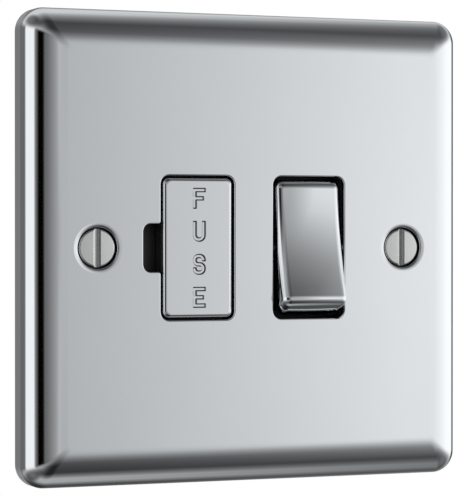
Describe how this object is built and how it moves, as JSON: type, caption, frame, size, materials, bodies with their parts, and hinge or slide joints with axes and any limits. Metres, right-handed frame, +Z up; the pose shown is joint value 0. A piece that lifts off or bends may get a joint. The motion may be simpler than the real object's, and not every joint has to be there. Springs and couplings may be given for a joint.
{
  "type": "fused spur unit",
  "caption": "Square polished wall plate with a pull-out fuse carrier beside a dished rocker switch, slotted fixing screws at the sides and a moulded switch body with terminals behind.",
  "frame": {"origin": "centre of the wall plane, which is the plane of the plate's rear rim", "axes": "+X right seen from the front, front looks to -Y, +Y into the wall, +Z up"},
  "size_m": [0.086, 0.0286, 0.086],
  "materials": {
    "polished_plate": "polished",
    "polished_cap": "polished",
    "polished_rocker": "polished",
    "screw_steel": "brushed",
    "plain_steel": "zinc plated",
    "black_moulding": "fine matt",
    "grey_moulding": "fine matt",
    "terminal_brass": "machined",
    "contact_brass": "stamped",
    "contact_silver": "matt",
    "white_nylon": "smooth",
    "fuse_ceramic": "glazed",
    "fuse_plating": "nickel plated"
  },
  "bodies": {
    "fixed_unit": {"front_plate": "polished_plate", "fixing_screws": "screw_steel", "stud_nuts": "plain_steel", "mechanism_body": "black_moulding", "rear_cover": "grey_moulding", "cover_screws": "plain_steel", "live_bracket": "contact_brass", "neutral_bracket": "contact_brass", "neutral_fixed_contact": "contact_brass", "live_fixed_contact": "contact_brass", "fixed_contact_tips": "contact_silver", "load_live_terminal": "terminal_brass", "load_earth_terminal": "terminal_brass", "load_neutral_terminal": "terminal_brass", "supply_earth_terminal": "terminal_brass", "supply_live_terminal": "terminal_brass", "supply_neutral_terminal": "terminal_brass", "terminal_screws": "terminal_brass", "earth_bar": "contact_brass", "upper_fuse_clip": "contact_brass", "lower_fuse_clip": "contact_brass"},
    "rocker_body": {"rocker": "polished_rocker", "plungers": "white_nylon", "plunger_springs": "plain_steel"},
    "live_contact_body": {"moving_contact_live": "contact_brass", "moving_tip_live": "contact_silver"},
    "neutral_contact_body": {"moving_contact_neutral": "contact_brass", "moving_tip_neutral": "contact_silver"},
    "fuse_carrier_body": {"fuse_carrier": "black_moulding", "fuse_carrier_cap": "polished_cap", "fuse_barrel": "fuse_ceramic", "fuse_end_caps": "fuse_plating"}
  },
  "joints": [
    {"name": "rocker_tilt", "type": "hinge", "parent": "fixed_unit", "child": "rocker_body", "pos_m": [0.011, -0.0049, 0], "axis": [1, 0, 0], "range_deg": [0, 21]},
    {"name": "fuse_carrier_slide", "type": "slide", "parent": "fixed_unit", "child": "fuse_carrier_body", "axis": [0, -1, 0], "range_m": [0, 0.014]},
    {"name": "live_contact_tilt", "type": "hinge", "parent": "fixed_unit", "child": "live_contact_body", "pos_m": [0.0078, 0.0041, 0], "axis": [1, 0, 0], "range_deg": [-16, 0]},
    {"name": "neutral_contact_tilt", "type": "hinge", "parent": "fixed_unit", "child": "neutral_contact_body", "pos_m": [0.0142, 0.0041, 0], "axis": [1, 0, 0], "range_deg": [-16, 0]}
  ],
  "couplings": [
    {"joint": "live_contact_tilt", "follows": "rocker_tilt", "ratio": -0.7619},
    {"joint": "neutral_contact_tilt", "follows": "rocker_tilt", "ratio": -0.7619}
  ]
}
